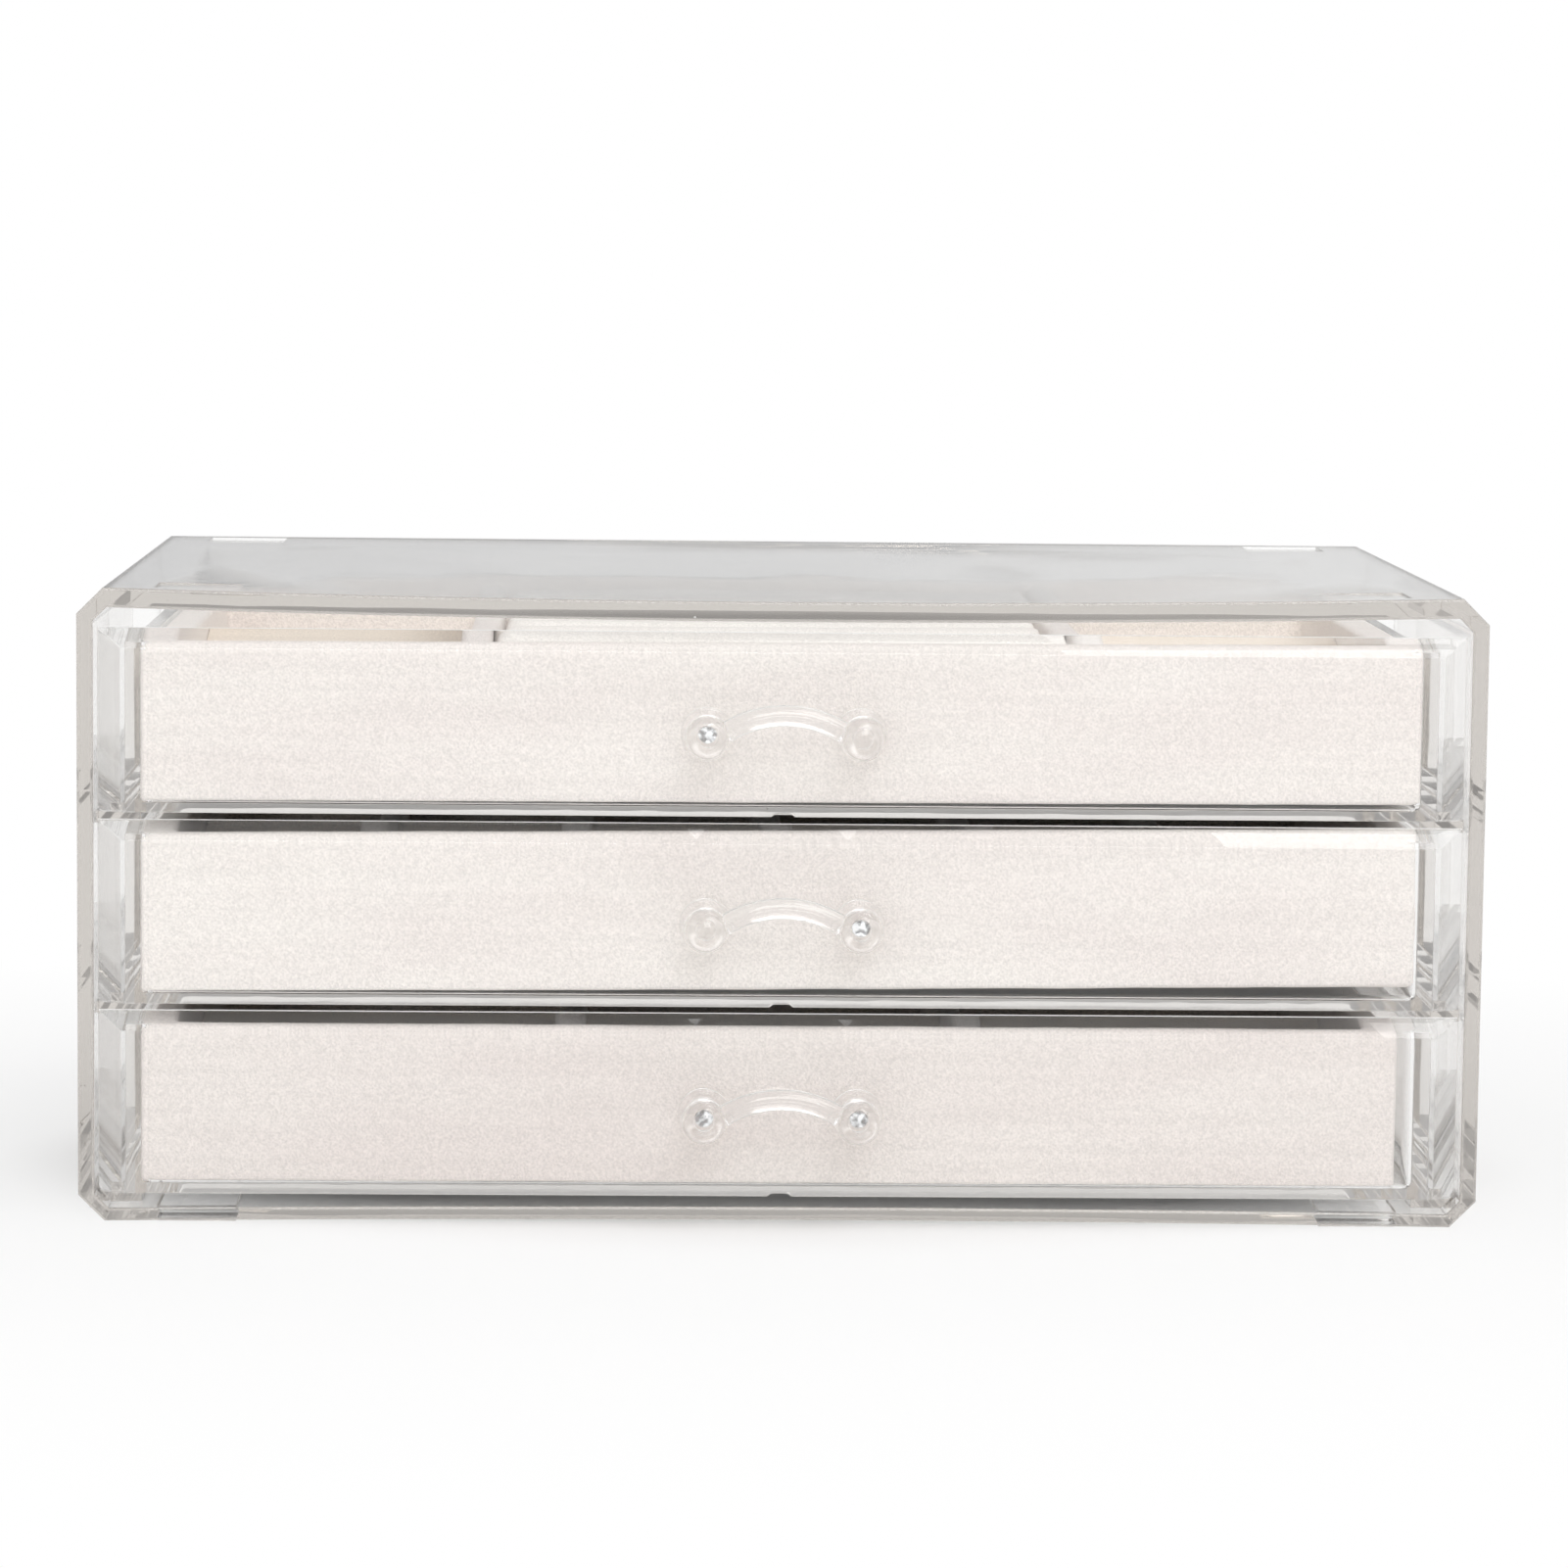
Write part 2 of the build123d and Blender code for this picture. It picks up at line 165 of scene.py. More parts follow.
def makeAcrylic(name, look, specks=False, cores=(), landTop=None):
    # cores are the middles of the balls where the hole for the peg ends in a frosted floor,
    # landTop is the height of a trimmed edge that is left a little matte
    material, tree = newMaterial(name)
    coords = tree.nodes.new("ShaderNodeTexCoord")
    wave = addNoise(tree, coords, "Object", look["waveScale"], 2.0)
    bump = addNode(tree, "ShaderNodeBump", Strength=look["waveStrength"], Distance=look["waveHeight"])
    wire(tree, wave, "Fac", bump, "Height")
    edges = addNode(tree, "ShaderNodeBevel", Radius=look["edgeRound"])
    edges.samples = look["edgeSamples"]
    wire(tree, edges, "Normal", bump, "Normal")
    smear = addNoise(tree, coords, "Object", look["hazeScale"], 4.0, 0.6)
    haze = addRange(tree, smear, "Fac", look["hazeFrom"], look["hazeTo"], 0.0, look["hazeMost"])
    shader = addNode(tree, "ShaderNodeBsdfPrincipled", Base_Color=look["tint"], IOR=look["refraction"])
    shader.inputs["Transmission Weight"].default_value = 1.0
    wire(tree, haze, "Result", shader, "Roughness")
    wire(tree, bump, "Normal", shader, "Normal")
    body = shader
    if cores:
        nearest = None
        for core in cores:
            away = tree.nodes.new("ShaderNodeVectorMath")
            away.operation = "DISTANCE"
            away.inputs[1].default_value = core
            wire(tree, coords, "Object", away, 0)
            reach = away.outputs["Value"]
            nearest = addMath(tree, "MINIMUM", nearest.outputs[0] if nearest else reach, reach)
        outer, inner = look["coreRadius"], look["coreRadius"] * look["coreSolid"]
        near = addRange(tree, nearest, 0, outer, inner, 0.0, look["coreShare"])
        fleck = addNoise(tree, coords, "Object", look["coreScale"], 2.0)
        frost = addMath(tree, "MULTIPLY", near.outputs["Result"], fleck.outputs["Fac"], True)
        silver = addNode(tree, "ShaderNodeBsdfPrincipled", Metallic=1.0, Roughness=look["coreRough"])
        shine = addRamp(tree, fleck, "Fac", (look["coreDark"], look["corePale"]))
        wire(tree, shine, "Color", silver, "Base Color")
        grainy = addNode(tree, "ShaderNodeBump", Strength=look["coreBump"], Distance=look["coreBumpHeight"])
        wire(tree, fleck, "Fac", grainy, "Height")
        wire(tree, grainy, "Normal", silver, "Normal")
        body = mixShaders(tree, frost, shader, silver)
    if specks:
        cells = addNode(tree, "ShaderNodeTexVoronoi", Scale=look["speckScale"])
        wire(tree, coords, "Object", cells, "Vector")
        small = addRange(tree, cells, "Distance", look["speckInner"], look["speckOuter"], 1.0, 0.0)
        chosen = tree.nodes.new("ShaderNodeSeparateColor")
        wire(tree, cells, "Color", chosen, "Color")
        some = addMath(tree, "GREATER_THAN", chosen.outputs["Red"], look["speckPick"])
        share = addMath(tree, "MULTIPLY", small.outputs["Result"], some.outputs[0])
        share = addMath(tree, "MULTIPLY", share.outputs[0], look["speckShare"])
        dust = addNode(tree, "ShaderNodeBsdfDiffuse", Color=look["speckColour"])
        body = mixShaders(tree, share, shader, dust)
    if landTop:
        place = tree.nodes.new("ShaderNodeSeparateXYZ")
        wire(tree, coords, "Object", place, "Vector")
        facing = tree.nodes.new("ShaderNodeNewGeometry")
        level = tree.nodes.new("ShaderNodeSeparateXYZ")
        wire(tree, facing, "True Normal", level, "Vector")
        flat = addMath(tree, "GREATER_THAN", level.outputs["Z"], look["landLevel"])
        high = addMath(tree, "GREATER_THAN", place.outputs["Z"], landTop - look["landDepth"])
        land = addMath(tree, "MULTIPLY", flat.outputs[0], high.outputs[0])
        land = addMath(tree, "MULTIPLY", land.outputs[0], look["landShare"])
        matte = addNode(tree, "ShaderNodeBsdfDiffuse", Color=look["landColour"])
        body = mixShaders(tree, land, shader, matte)
    # lamps and bounced light go straight through
    path = tree.nodes.new("ShaderNodeLightPath")
    soft = addMath(tree, "MAXIMUM", path.outputs["Is Shadow Ray"], path.outputs["Is Diffuse Ray"])
    through = addNode(tree, "ShaderNodeBsdfTransparent", Color=look["lampTint"])
    mixed = mixShaders(tree, soft, body, through)
    absorb = addNode(tree, "ShaderNodeVolumeAbsorption", Color=look["absorb"], Density=look["absorbDensity"])
    out = tree.nodes.new("ShaderNodeOutputMaterial")
    wire(tree, mixed, 0, out, "Surface")
    wire(tree, absorb, 0, out, "Volume")
    return material


caseLook = {**acrylic, "absorbDensity": 12.5, "waveStrength": 0.002}
caseAcrylic = makeAcrylic("caseAcrylic", caseLook, specks=True)


def giveFinish(node, material):
    nodes[node].data.materials.clear()
    nodes[node].data.materials.append(material)


giveFinish("case", caseAcrylic)
handleLook = {
    "ballRadius": 0.00378,
    "baseRadius": 0.00435,
    "frosted": {"top": (-1,), "middle": (1,), "bottom": (-1, 1)},
    "coreRise": 0.0004,
    "lampTint": (0.86, 0.85, 0.84, 1),
}
for name in drawerNames:
    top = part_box(f"{name}_drawer")[1].z
    giveFinish(f"{name}_drawer", makeAcrylic(f"{name}DrawerAcrylic", acrylic, landTop=top))
    low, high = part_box(f"{name}_handle")
    base, ball = handleLook["baseRadius"], handleLook["ballRadius"]
    rise = low.z + base + handleLook["coreRise"]
    cores = [(side * (high.x - base), low.y + ball, rise) for side in handleLook["frosted"][name]]
    clear = {**acrylic, "lampTint": handleLook["lampTint"]}
    giveFinish(f"{name}_handle", makeAcrylic(f"{name}HandleAcrylic", clear, cores=cores))
print("clear parts finished")


# short cream velvet: pile grain, brushed pink and cream patches, faint lines along the nap
velvet = {
    "cream": (0.905, 0.860, 0.825),
    "pink": (0.860, 0.800, 0.771),
    "patchScale": (11.0, 30.0, 42.0),
    "pinkUpTo": 0.36,
    "creamFrom": 0.60,
    "grainScale": 2700.0,
    "grainSpan": 0.3,
    "grainDark": 0.82,
    "grainPale": 1.16,
    "lineScale": (10.0, 200.0, 620.0),
    "lineShare": 0.16,
    "rough": 0.92,
    "gloss": 0.15,
    "sheen": 0.35,
    "sheenRough": 0.45,
    "sheenTint": (1.0, 0.98, 0.96, 1),
    "bumpStrength": 0.5,
    "bumpHeight": 0.0003,
}


def makeVelvet(name, look):
    material, tree = newMaterial(name)
    coords = tree.nodes.new("ShaderNodeTexCoord")
    wide = addNode(tree, "ShaderNodeMapping", Scale=look["patchScale"])
    wire(tree, coords, "Object", wide, "Vector")
    patches = addNoise(tree, wide, "Vector", 1.0, 3.0, 0.6)
    stops = ((look["pinkUpTo"], look["pink"]), (look["creamFrom"], look["cream"]))
    brushed = addRamp(tree, patches, "Fac", stops)
    grain = addNoise(tree, coords, "Object", look["grainScale"], 2.0, 0.6)
    along = addNode(tree, "ShaderNodeMapping", Scale=look["lineScale"])
    wire(tree, coords, "Object", along, "Vector")
    lines = addNoise(tree, along, "Vector", 1.0, 2.0)
    pile = addMath(tree, "MULTIPLY_ADD", lines.outputs["Fac"], look["lineShare"])
    tree.links.new(grain.outputs["Fac"], pile.inputs[2])
    middle, span = 0.5 + 0.5 * look["lineShare"], look["grainSpan"]
    shade = addRange(tree, pile, 0, middle - span, middle + span, look["grainDark"], look["grainPale"])
    colour = tree.nodes.new("ShaderNodeVectorMath")
    colour.operation = "SCALE"
    wire(tree, brushed, "Color", colour, 0)
    tree.links.new(shade.outputs["Result"], colour.inputs["Scale"])
    bump = addNode(tree, "ShaderNodeBump", Strength=look["bumpStrength"], Distance=look["bumpHeight"])
    wire(tree, grain, "Fac", bump, "Height")
    shader = addNode(tree, "ShaderNodeBsdfPrincipled", Roughness=look["rough"])
    shader.inputs["Specular IOR Level"].default_value = look["gloss"]
    shader.inputs["Sheen Weight"].default_value = look["sheen"]
    shader.inputs["Sheen Roughness"].default_value = look["sheenRough"]
    shader.inputs["Sheen Tint"].default_value = look["sheenTint"]
    wire(tree, colour, 0, shader, "Base Color")
    wire(tree, bump, "Normal", shader, "Normal")
    out = tree.nodes.new("ShaderNodeOutputMaterial")
    wire(tree, shader, 0, out, "Surface")
    return material


trayVelvet = makeVelvet("trayVelvet", velvet)
# the bottom tray takes a darker copy of the same velvet: painted shade for the dimmer light on the lowest
# drawer
bottomShadeLook = {"cream": (0.853, 0.797, 0.766), "pink": (0.811, 0.743, 0.716)}
lowVelvet = makeVelvet("lowVelvet", {**velvet, **bottomShadeLook})
rollLook = {"cream": (0.93, 0.895, 0.86), "pink": (0.90, 0.86, 0.825), "patchScale": (40.0, 60.0, 60.0)}
rollVelvet = makeVelvet("rollVelvet", {**velvet, **rollLook})
# the tray floors take a deeper tan copy of the velvet: painted shade for the dim, warm light down in the
# compartments
floorShadeLook = {"cream": (0.91, 0.83, 0.74), "pink": (0.86, 0.77, 0.67)}
floorVelvet = makeVelvet("floorVelvet", {**velvet, **floorShadeLook})
drawerVelvet = {"top": trayVelvet, "middle": trayVelvet, "bottom": lowVelvet}

# dark brown sheet on the downward faces of each tray: painted shade that keeps the gaps between the drawers
# dark
shadeSheet = {
    "deep": (0.35, (0.088, 0.064, 0.048)),
    "pale": (0.65, (0.150, 0.112, 0.086)),
    "fleckScale": 420.0,
    "rough": 0.85,
    "facing": -0.9,
}


def makeShadeSheet(name, look):
    material, tree = newMaterial(name)
    coords = tree.nodes.new("ShaderNodeTexCoord")
    fleck = addNoise(tree, coords, "Object", look["fleckScale"], 4.0, 0.65)
    colour = addRamp(tree, fleck, "Fac", (look["deep"], look["pale"]))
    shader = addNode(tree, "ShaderNodeBsdfPrincipled", Roughness=look["rough"])
    wire(tree, colour, "Color", shader, "Base Color")
    out = tree.nodes.new("ShaderNodeOutputMaterial")
    wire(tree, shader, 0, out, "Surface")
    return material


trayShadeSheet = makeShadeSheet("trayShadeSheet", shadeSheet)

# the loose trays lie a little high at the right, in metres of rise for each metre of width
trayLean = {"top": 0.0045, "middle": 0.0105, "bottom": 0.0}
leanFrom = -0.107

# the smaller of the two ripples in the velvet, against the larger
fineRipple = {"times": 3.1, "share": 0.5}


def arcRun(centreA, centreB, radius, start, end, steps):
    # points of an arc in a flat section, angles in degrees
    turns = [math.radians(start + (end - start) * i / steps) for i in range(steps + 1)]
    return [(centreA + radius * math.cos(t), centreB + radius * math.sin(t)) for t in turns]


def evenRun(start, end, step):
    # places between two ends, without the ends
    count = max(2, math.ceil(abs(end - start) / step))
    return [start + (end - start) * i / count for i in range(1, count)]


def roundedLoop(centre, halfX, halfY, radius, height, countX, countY, arcSteps):
    # a level rounded rectangle, always with the same count of points
    points = []
    corners = ((1, 1, 0), (-1, 1, 90), (-1, -1, 180), (1, -1, 270))
    counts = (countX, countY, countX, countY)
    for (signX, signY, turn), count in zip(corners, counts):
        arc = arcRun(signX * (halfX - radius), signY * (halfY - radius), radius, turn, turn + 90, arcSteps)
        points += [Vector((centre[0] + x, centre[1] + y, height)) for x, y in arc]
        last = points[-1]
        nextX, nextY, _ = corners[(turn // 90 + 1) % 4]
        ahead = math.radians(turn + 90)
        first = Vector((
            centre[0] + nextX * (halfX - radius) + radius * math.cos(ahead),
            centre[1] + nextY * (halfY - radius) + radius * math.sin(ahead),
            height,
        ))
        points += [last.lerp(first, i / count) for i in range(1, count)]
    return points


def finishPiece(name, verts, faces, material, body, replaced, ripple, rippleSize, withShadeSheet=False):
    # closes the mesh up, ripples it along its normals, leans it with its tray and hangs it on its body
    mesh = bpy.data.meshes.new(name)
    mesh.from_pydata([tuple(v) for v in verts], [], faces)
    work = bmesh.new()
    work.from_mesh(mesh)
    bmesh.ops.recalc_face_normals(work, faces=work.faces)
    work.normal_update()
    slope = trayLean[name.split("_")[0]]
    for vert in work.verts:
        place = vert.co / rippleSize
        wave = noise.noise(place) + fineRipple["share"] * noise.noise(place * fineRipple["times"])
        vert.co += vert.normal * ripple * wave
    for face in work.faces:
        face.smooth = True
        # downward faces take the dark sheet, painted shade under the tray
        if withShadeSheet and face.normal.z < shadeSheet["facing"]:
            face.material_index = 1
    for vert in work.verts:
        vert.co.z += slope * (vert.co.x - leanFrom)
    work.to_mesh(mesh)
    work.free()
    mesh.materials.append(material)
    if withShadeSheet:
        mesh.materials.append(trayShadeSheet)
    piece = bpy.data.objects.new(name, mesh)
    bpy.context.scene.collection.objects.link(piece)
    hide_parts(*replaced)
    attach(piece, body)
    return piece


def bridgeLoops(count, size, closed):
    # quads between neighbouring loops of the same size
    faces = []
    for a in range(count if closed else count - 1):
        b = (a + 1) % count
        for i in range(size):
            j = (i + 1) % size
            faces.append((a * size + i, a * size + j, b * size + j, b * size + i))
    return faces


# wrapped wall frame of each tray, thin at the front, standing just clear of the drawer floor
trayWrap = {
    "wall": 0.0055,
    "frontWall": 0.0022,
    "cornerRound": 0.0007,
    "innerRound": 0.0012,
    "topRound": 0.0010,
    "footRound": 0.0008,
    "lift": 0.0002,
    "sideSwell": 0.0003,
    "frontSwell": 0.0002,
    "step": 0.0022,
    "arcSteps": 5,
    "ripple": 0.00009,
    "rippleSize": 0.014,
}


def frontInset(inset, look):
    # the same rounded edges on the thinner front wall
    wall, front, top = look["wall"], look["frontWall"], look["topRound"]
    if inset <= top:
        return inset
    if inset >= wall - top:
        return front - (wall - inset)
    return top + (inset - top) / (wall - 2 * top) * (front - 2 * top)


def wrapTray(drawer, look):
    node = f"{drawer}_tray_frame"
    low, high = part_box(node)
    left, right = low.x - look["sideSwell"], high.x + look["sideSwell"]
    front, back = low.y - look["frontSwell"], high.y
    wall, top, foot = look["wall"], look["topRound"], look["footRound"]
    base = low.z + look["lift"]
    height = high.z - base
    section = arcRun(foot, foot, foot, 270, 180, look["arcSteps"])
    section += [(0, v) for v in evenRun(foot, height - top, look["step"])]
    section += arcRun(top, height - top, top, 180, 90, look["arcSteps"])
    section += [(u, height) for u in evenRun(top, wall - top, look["step"])]
    section += arcRun(wall - top, height - top, top, 90, 0, look["arcSteps"])
    section += [(wall, v) for v in evenRun(height - top, 0, look["step"])]
    section += [(wall, 0.0)]
    section += [(u, 0.0) for u in evenRun(wall, foot, look["step"])]
    countX, countY = math.ceil((right - left) / look["step"]), math.ceil((back - front) / look["step"])
    verts = []
    for inset, rise in section:
        share = inset / wall
        radius = look["cornerRound"] * (1 - share) + look["innerRound"] * share
        frontEdge, backEdge = front + frontInset(inset, look), back - inset
        centre = ((left + right) / 2, (frontEdge + backEdge) / 2)
        sideInset = inset + look["sideSwell"] * share
        halfX, halfY = (right - left) / 2 - sideInset, (backEdge - frontEdge) / 2
        verts += roundedLoop(centre, halfX, halfY, radius, base + rise, countX, countY, look["arcSteps"])
    size = len(verts) // len(section)
    faces = bridgeLoops(len(section), size, True)
    return finishPiece(
        f"{drawer}_velvet_frame", verts, faces, drawerVelvet[drawer], f"{drawer}_drawer_unit", [node],
        look["ripple"], look["rippleSize"], True,
    )


for name in drawerNames:
    wrapTray(name, trayWrap)
print("tray frames wrapped")


# bars with a flat section swept along X or Y: dividers, floor boards and ring rolls
def insetSection(section, amount):
    # moves every point of a closed section inwards
    count = len(section)
    area = sum(a[0] * b[1] - b[0] * a[1] for a, b in zip(section, section[1:] + section[:1]))
    turn = 1 if area > 0 else -1
    moved = []
    for i, (a, b) in enumerate(section):
        before, after = section[i - 1], section[(i + 1) % count]
        dx, dy = after[0] - before[0], after[1] - before[1]
        length = math.hypot(dx, dy) or 1
        moved.append((a - turn * dy / length * amount, b + turn * dx / length * amount))
    return moved


def sweepBar(section, start, end, alongX, endRound, step, arcSteps):
    # stations with rounded ends, each end closed by shrinking rings
    turns = [math.radians(90 * i / arcSteps) for i in range(arcSteps + 1)]
    stations = [(start + endRound * (1 - math.cos(t)), endRound * (1 - math.sin(t))) for t in turns]
    middle = [(place, 0.0) for place in evenRun(start + endRound, end - endRound, step)]
    tail = [(start + end - place, inset) for place, inset in reversed(stations)]
    loops = [(place, insetSection(section, inset)) for place, inset in stations + middle + tail]
    middleA = sum(a for a, b in section) / len(section)
    middleB = (max(b for a, b in section) + min(b for a, b in section)) / 2

    def shrink(loop, share):
        return [(middleA + (a - middleA) * share, middleB + (b - middleB) * share) for a, b in loop]

    rings = (0.25, 0.5, 0.75)
    first = [(loops[0][0], shrink(loops[0][1], share)) for share in rings]
    last = [(loops[-1][0], shrink(loops[-1][1], share)) for share in reversed(rings)]
    loops = first + loops + last
    verts = []
    for place, loop in loops:
        verts += [Vector((place, a, b) if alongX else (a, place, b)) for a, b in loop]
    size = len(section)
    faces = bridgeLoops(len(loops), size, False)
    for place, offset in ((loops[0][0], 0), (loops[-1][0], (len(loops) - 1) * size)):
        hub = len(verts)
        verts.append(Vector((place, middleA, middleB) if alongX else (middleA, place, middleB)))
        faces += [(hub, offset + i, offset + (i + 1) % size) for i in range(size)]
    return verts, faces


def boardSection(lowA, highA, lowB, highB, topRound, footRound, step, arcSteps, bulge):
    # a board's section with its top edges rounded over and its sides a little full
    section = arcRun(lowA + footRound, lowB + footRound, footRound, 180, 270, arcSteps)
    section += [(a, lowB) for a in evenRun(lowA + footRound, highA - footRound, step)]
    section += arcRun(highA - footRound, lowB + footRound, footRound, 270, 360, arcSteps)
    section += [(highA, b) for b in evenRun(lowB + footRound, highB - topRound, step)]
    section += arcRun(highA - topRound, highB - topRound, topRound, 0, 90, arcSteps)
    section += [(a, highB) for a in evenRun(highA - topRound, lowA + topRound, step)]
    section += arcRun(lowA + topRound, highB - topRound, topRound, 90, 180, arcSteps)
    section += [(lowA, b) for b in evenRun(highB - topRound, lowB + footRound, step)]
    middleA, height = (lowA + highA) / 2, highB - lowB
    return [
        (a + math.copysign(bulge, a - middleA) * math.sin(math.pi * (b - lowB) / height), b)
        for a, b in section
    ]


dividerWrap = {
    "topRound": 0.0016,
    "footRound": 0.0005,
    "endRound": 0.0007,
    "step": 0.0022,
    "arcSteps": 5,
    "bulge": 0.0001,
    "ripple": 0.00006,
    "rippleSize": 0.011,
    "crossPlay": 0.0001,
}


def wrapDivider(node, body, look, gaps=()):
    # a wrapped board; where others cross it, it stands in lengths between them
    low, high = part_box(node)
    alongX = high.x - low.x > high.y - low.y
    side = 0 if alongX else 1
    across = 1 - side
    section = boardSection(
        low[across], high[across], low.z, high.z, look["topRound"], look["footRound"],
        look["step"], look["arcSteps"], look["bulge"],
    )
    starts = [low[side]] + [gap[1] for gap in gaps]
    ends = [gap[0] for gap in gaps] + [high[side]]
    verts, faces = [], []
    for start, end in zip(starts, ends):
        newVerts, newFaces = sweepBar(
            section, start, end, alongX, look["endRound"], look["step"], look["arcSteps"]
        )
        faces += [tuple(i + len(verts) for i in face) for face in newFaces]
        verts += newVerts
    return finishPiece(
        node.replace("_tray_", "_velvet_"), verts, faces, trayVelvet, body, [node],
        look["ripple"], look["rippleSize"],
    )


for node in ("top_tray_left_divider", "top_tray_right_divider"):
    wrapDivider(node, "top_drawer_unit", dividerWrap)
crossNodes = sorted(n for n in nodes if n.startswith("middle_tray_cross_divider"))
for node in crossNodes:
    wrapDivider(node, "middle_drawer_unit", dividerWrap)
crossPlay = dividerWrap["crossPlay"]
crossings = [(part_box(n)[0].x - crossPlay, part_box(n)[1].x + crossPlay) for n in crossNodes]
wrapDivider("middle_tray_long_divider", "middle_drawer_unit", dividerWrap, crossings)
for node in ("bottom_tray_divider_1", "bottom_tray_divider_2"):
    wrapDivider(node, "bottom_drawer_unit", dividerWrap)
print("dividers wrapped")


floorWrap = {
    "topRound": 0.0004,
    "footRound": 0.0004,
    "endRound": 0.0003,
    "step": 0.0035,
    "arcSteps": 4,
    "bulge": 0.00008,
    "lift": 0.0002,
    "spread": 0.00025,
    "ripple": 0.00007,
    "rippleSize": 0.02,
}


def layFloor(drawer, look):
    node = f"{drawer}_tray_floor"
    low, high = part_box(node)
    spread = look["spread"]
    section = boardSection(
        low.y - spread, high.y + spread, low.z + look["lift"], high.z, look["topRound"], look["footRound"],
        look["step"], look["arcSteps"], look["bulge"],
    )
    left, right = low.x - spread, high.x + spread
    verts, faces = sweepBar(section, left, right, True, look["endRound"], look["step"], look["arcSteps"])
    # the floor wears the tan velvet, which is painted shade
    return finishPiece(
        f"{drawer}_velvet_floor", verts, faces, floorVelvet, f"{drawer}_drawer_unit", [node],
        look["ripple"], look["rippleSize"], True,
    )


for name in drawerNames:
    layFloor(name, floorWrap)
print("tray floors laid")


# foam ring rolls under velvet: a slim form, blown up as cloth with its foot held
ringRoll = {
    "slim": 0.0003,
    "endSlim": 0.0001,
    "endRound": 0.0015,
    "footRound": 0.0006,
    "step": 0.002,
    "arcSteps": 14,
    "footSteps": 3,
    "endSteps": 5,
    "fill": 0.85,
    "ripple": 0.00016,
    "rippleSize": 0.012,
    "voxel": 0.0015,
    "simScale": 20.0,
    "pressure": 4.0,
    "frames": 20,
    "cap": 0.0005,
    "heldShare": 0.12,
    "quality": 6,
}


def plumpRoll(piece, look):
    # the cloth runs on a copy at twenty times the size, where its usual numbers hold
    scene, scale = bpy.context.scene, look["simScale"]
    spots = [v.co.copy() for v in piece.data.vertices]
    centre = sum(spots, Vector()) / len(spots)
    big = bpy.data.objects.new("rollCloth", piece.data.copy())
    for vert in big.data.vertices:
        vert.co = (vert.co - centre) * scale
    scene.collection.objects.link(big)
    remesh = big.modifiers.new("remesh", "REMESH")
    remesh.mode = "VOXEL"
    remesh.voxel_size = look["voxel"] * scale
    even = bpy.data.meshes.new_from_object(big.evaluated_get(bpy.context.evaluated_depsgraph_get()))
    big.modifiers.clear()
    big.data = even
    rests = [v.co.copy() for v in even.vertices]
    lowest, highest = min(v.z for v in rests), max(v.z for v in rests)
    heldUpTo = lowest + look["heldShare"] * (highest - lowest)
    foot = big.vertex_groups.new(name="foot")
    foot.add([i for i, v in enumerate(rests) if v.z < heldUpTo], 1.0, "REPLACE")
    cloth = big.modifiers.new("cloth", "CLOTH")
    cloth.settings.quality = look["quality"]
    cloth.settings.use_pressure = True
    cloth.settings.uniform_pressure_force = look["pressure"]
    cloth.settings.vertex_group_mass = "foot"
    cloth.settings.effector_weights.gravity = 0.0
    cloth.point_cache.frame_start, cloth.point_cache.frame_end = 1, look["frames"]
    for step in range(1, look["frames"] + 1):
        scene.frame_set(step)
    blown = bpy.data.meshes.new_from_object(big.evaluated_get(bpy.context.evaluated_depsgraph_get()))
    for vert, rest in zip(blown.vertices, rests):
        move = vert.co - rest
        if move.length > look["cap"] * scale:
            move *= look["cap"] * scale / move.length
        vert.co = (rest + move) / scale + centre
    for face in blown.polygons:
        face.use_smooth = True
    blown.materials.clear()
    blown.materials.append(rollVelvet)
    blown.name = piece.name
    piece.data = blown
    soften = piece.modifiers.new("soften", "SUBSURF")
    soften.levels = soften.render_levels = 1
    bpy.data.objects.remove(big)
    scene.frame_set(1)


def stuffRoll(node, look):
    low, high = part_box(node)
    slim = look["slim"]
    front, back, top = low.y + slim, high.y - slim, high.z - slim
    radius = (back - front) / 2
    middle, shoulder = (front + back) / 2, top - radius
    foot = look["footRound"]
    section = arcRun(front + foot, low.z + foot, foot, 180, 270, look["footSteps"])
    section += [(a, low.z) for a in evenRun(front + foot, back - foot, look["step"])]
    section += arcRun(back - foot, low.z + foot, foot, 270, 360, look["footSteps"])
    section += [(back, b) for b in evenRun(low.z + foot, shoulder, look["step"])]
    section += arcRun(middle, shoulder, radius, 0, 180, look["arcSteps"])
    section += [(front, b) for b in evenRun(shoulder, low.z + foot, look["step"])]
    left, right = low.x + look["endSlim"], high.x - look["endSlim"]
    verts, faces = sweepBar(section, left, right, True, look["endRound"], look["step"], look["endSteps"])
    piece = finishPiece(
        node.replace("_tray_", "_velvet_"), verts, faces, rollVelvet, "top_drawer_unit", [node],
        look["ripple"], look["rippleSize"],
    )
    plumpRoll(piece, look)
    return piece


for node in sorted(n for n in nodes if n.startswith("top_tray_ring_roll")):
    stuffRoll(node, ringRoll)
print("ring rolls stuffed")


# pale floor, soft lamps and the room
floorLook = {
    "half": 9.0,
    "dim": (0.3, (0.84, 0.84, 0.84)),
    "pale": (0.7, (0.88, 0.88, 0.88)),
    "mottleScale": 3.0,
    "squeeze": (0.62, 1.0, 0.0),
    "whiteShares": ((0.062, 0.12), (0.085, 0.66), (0.26, 1.0)),
}


